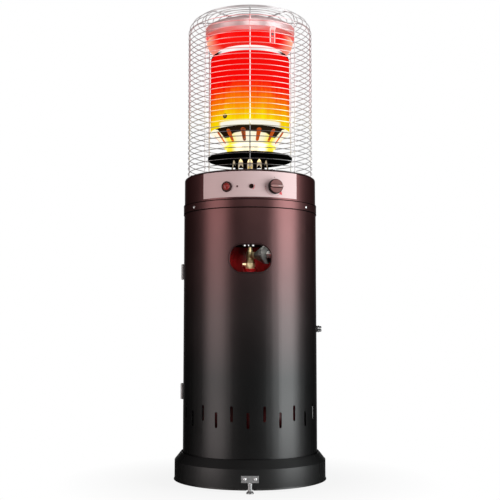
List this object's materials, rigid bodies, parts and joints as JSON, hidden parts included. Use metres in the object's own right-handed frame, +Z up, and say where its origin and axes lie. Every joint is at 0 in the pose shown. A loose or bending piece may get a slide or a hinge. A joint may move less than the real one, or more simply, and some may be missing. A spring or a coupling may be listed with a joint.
{
  "type": "gas patio heater",
  "caption": "Free-standing gas heater: round cabinet for a gas cylinder with a hinged rear door, control head with knob and igniter, glowing emitter drum, reflectors and wire guard.",
  "frame": {"origin": "on the floor under the cabinet's axis", "axes": "+Z up, front with the knob and the hand window towards -Y, +X to the front viewer's right"},
  "size_m": [0.4436, 0.4578, 1.371],
  "materials": {
    "black_coat": "satin powder coat",
    "black_base": "satin powder coat",
    "inner_steel": "matt black",
    "zinc": "bright zinc plate",
    "stainless": "brushed stainless",
    "polished": "polished stainless",
    "chrome": "bright chrome",
    "dark_screw": "blackened steel",
    "black_plastic": "moulded, fine grain",
    "red_plastic": "glossy moulded",
    "ivory_plastic": "moulded",
    "ceramic": "glazed ceramic",
    "green_plastic": "moulded, ribbed",
    "brass": "turned brass",
    "alloy": "die-cast",
    "alloy_tube": "drawn tube",
    "burner_black": "heat-proof black",
    "hot_steel": "heat-resisting mesh, glowing",
    "cone_steel": "polished, heat-tinted",
    "red_steel": "polished, lit red",
    "red_coat": "gloss enamel",
    "wire": "bright wire"
  },
  "bodies": {
    "heater": {"base_ring": "black_base", "base_plate": "inner_steel", "foot_brackets": "zinc", "bracket_screws": "zinc", "body_shell": "black_coat", "collar_band": "black_coat", "band_screws": "dark_screw", "hinge_frame_leaves": "black_base", "hinge_pins": "zinc", "hinge_frame_screws": "dark_screw", "control_housing": "black_coat", "control_panel": "stainless", "panel_stud": "red_plastic", "sight_bezel": "black_plastic", "igniter_bezel": "black_plastic", "igniter_body": "ivory_plastic", "gas_valve": "alloy", "burner_pipe": "alloy_tube", "injector": "brass", "pedestal": "burner_black", "pedestal_screws": "dark_screw", "burner_dish": "burner_black", "burner_neck": "cone_steel", "pilot_burner": "alloy", "thermocouple": "brass", "spark_electrode": "ceramic", "emitter_cone": "cone_steel", "emitter_drum": "hot_steel", "ignition_port": "dark_screw", "emitter_cover": "burner_black", "reflector_bowl": "red_steel", "cap_straps": "polished", "strap_screws": "dark_screw", "reflector_cap": "polished", "guard_rings": "wire", "guard_uprights": "wire", "guard_clips": "zinc", "guard_screws": "dark_screw", "cylinder_shell": "red_coat", "cylinder_foot_ring": "red_coat", "cylinder_collar": "red_coat", "cylinder_valve": "brass", "regulator": "alloy"},
    "door": {"rear_door": "black_coat", "hinge_door_leaves": "black_base", "hinge_door_screws": "dark_screw", "latch_bush": "black_plastic"},
    "latch": {"latch_knob": "chrome", "latch_cam": "zinc"},
    "spindle_carrier": {"spindle_washer": "zinc"},
    "knob": {"control_knob": "black_plastic", "valve_spindle": "zinc"},
    "igniter_push": {"igniter_button": "red_plastic"},
    "cylinder_wheel": {"hand_wheel": "black_plastic"},
    "nut": {"coupling_nut": "green_plastic"},
    "front_foot": {"foot_front": "zinc"},
    "right_foot": {"foot_right": "zinc"},
    "left_foot": {"foot_left": "zinc"}
  },
  "joints": [
    {"name": "door_swing", "type": "hinge", "parent": "heater", "child": "door", "pos_m": [-0.20072, 0.01052, 0.43], "axis": [0, 0, 1], "range_deg": [0, 110]},
    {"name": "latch_turn", "type": "hinge", "parent": "door", "child": "latch", "pos_m": [0.19588, 0.00684, 0.4386], "axis": [0.9994, 0.0349, 0], "range_deg": [0, 90]},
    {"name": "knob_push", "type": "slide", "parent": "heater", "child": "spindle_carrier", "axis": [-0.3502, 0.9367, 0], "range_m": [0, 0.0035], "stiffness_N_per_m": 600, "springref_m": -0.005},
    {"name": "knob_turn", "type": "hinge", "parent": "spindle_carrier", "child": "knob", "pos_m": [0.07004, -0.18733, 0.834], "axis": [0.3502, -0.9367, 0], "range_deg": [0, 180]},
    {"name": "igniter_press", "type": "slide", "parent": "heater", "child": "igniter_push", "axis": [0.3305, 0.9438, 0], "range_m": [0, 0.005], "stiffness_N_per_m": 600, "springref_m": -0.005},
    {"name": "hand_wheel_turn", "type": "hinge", "parent": "heater", "child": "cylinder_wheel", "pos_m": [0, 0, 0.7], "axis": [0, 0, 1], "range_deg": [0, 540]},
    {"name": "coupling_turn", "type": "hinge", "parent": "heater", "child": "nut", "pos_m": [0.0383, -0.03214, 0.6555], "axis": [0.766, -0.6428, 0], "continuous": true},
    {"name": "front_foot_screw", "type": "slide", "parent": "heater", "child": "front_foot", "axis": [0, 0, -1], "range_m": [0, 0.01]},
    {"name": "right_foot_screw", "type": "slide", "parent": "heater", "child": "right_foot", "axis": [0, 0, -1], "range_m": [0, 0.01]},
    {"name": "left_foot_screw", "type": "slide", "parent": "heater", "child": "left_foot", "axis": [0, 0, -1], "range_m": [0, 0.01]}
  ]
}
